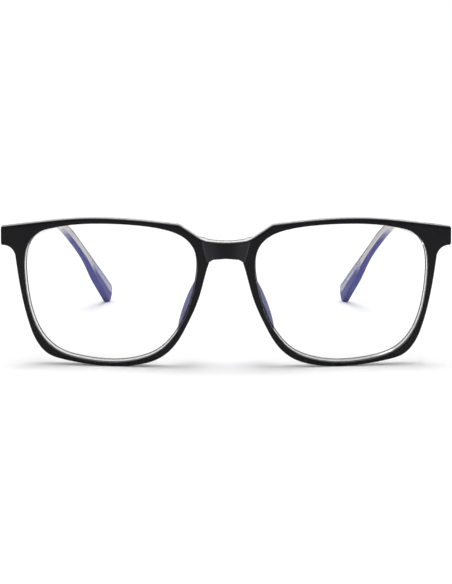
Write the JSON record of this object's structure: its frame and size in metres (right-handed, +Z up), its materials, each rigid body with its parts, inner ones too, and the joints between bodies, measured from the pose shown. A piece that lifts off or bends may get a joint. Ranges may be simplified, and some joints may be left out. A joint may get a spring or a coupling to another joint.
{
  "type": "eyeglasses",
  "caption": "Square blue light glasses with a black and clear laminated front, thin flat lenses, nose pads and folding translucent temples on screw hinges.",
  "frame": {"origin": "centre of the footprint, on the surface that the glasses stand on", "axes": "+Z up, -Y the way the wearer looks, +X to the wearer's left"},
  "size_m": [0.1406, 0.1395, 0.047],
  "materials": {
    "black_plastic": "polished",
    "clear_plastic": "clear, polished",
    "violet_plastic": "translucent, polished",
    "lens": "clear, with a faint blue-violet coating",
    "core_metal": "satin",
    "hinge_metal": "satin nickel",
    "screw_metal": "bright"
  },
  "bodies": {
    "front": {"front_frame": "black_plastic", "rear_frame": "clear_plastic", "lens_right": "lens", "lens_left": "lens", "nose_pad_right": "violet_plastic", "nose_pad_left": "violet_plastic", "front_hinge_right": "hinge_metal", "front_hinge_left": "hinge_metal", "hinge_screw_right": "screw_metal", "hinge_screw_left": "screw_metal", "front_leaf_screws_right": "screw_metal", "front_leaf_screws_left": "screw_metal"},
    "right_temple": {"temple_right": "violet_plastic", "temple_core_right": "core_metal", "temple_hinge_right": "hinge_metal", "temple_leaf_screws_right": "screw_metal"},
    "left_temple": {"temple_left": "violet_plastic", "temple_core_left": "core_metal", "temple_hinge_left": "hinge_metal", "temple_leaf_screws_left": "screw_metal"}
  },
  "joints": [
    {"name": "right_temple_fold", "type": "hinge", "parent": "front", "child": "right_temple", "pos_m": [-0.0646, -0.0566, 0.04085], "axis": [0, 0, -1], "range_deg": [0, 72]},
    {"name": "left_temple_fold", "type": "hinge", "parent": "front", "child": "left_temple", "pos_m": [0.0646, -0.0566, 0.04085], "axis": [0, 0, 1], "range_deg": [0, 80]}
  ]
}
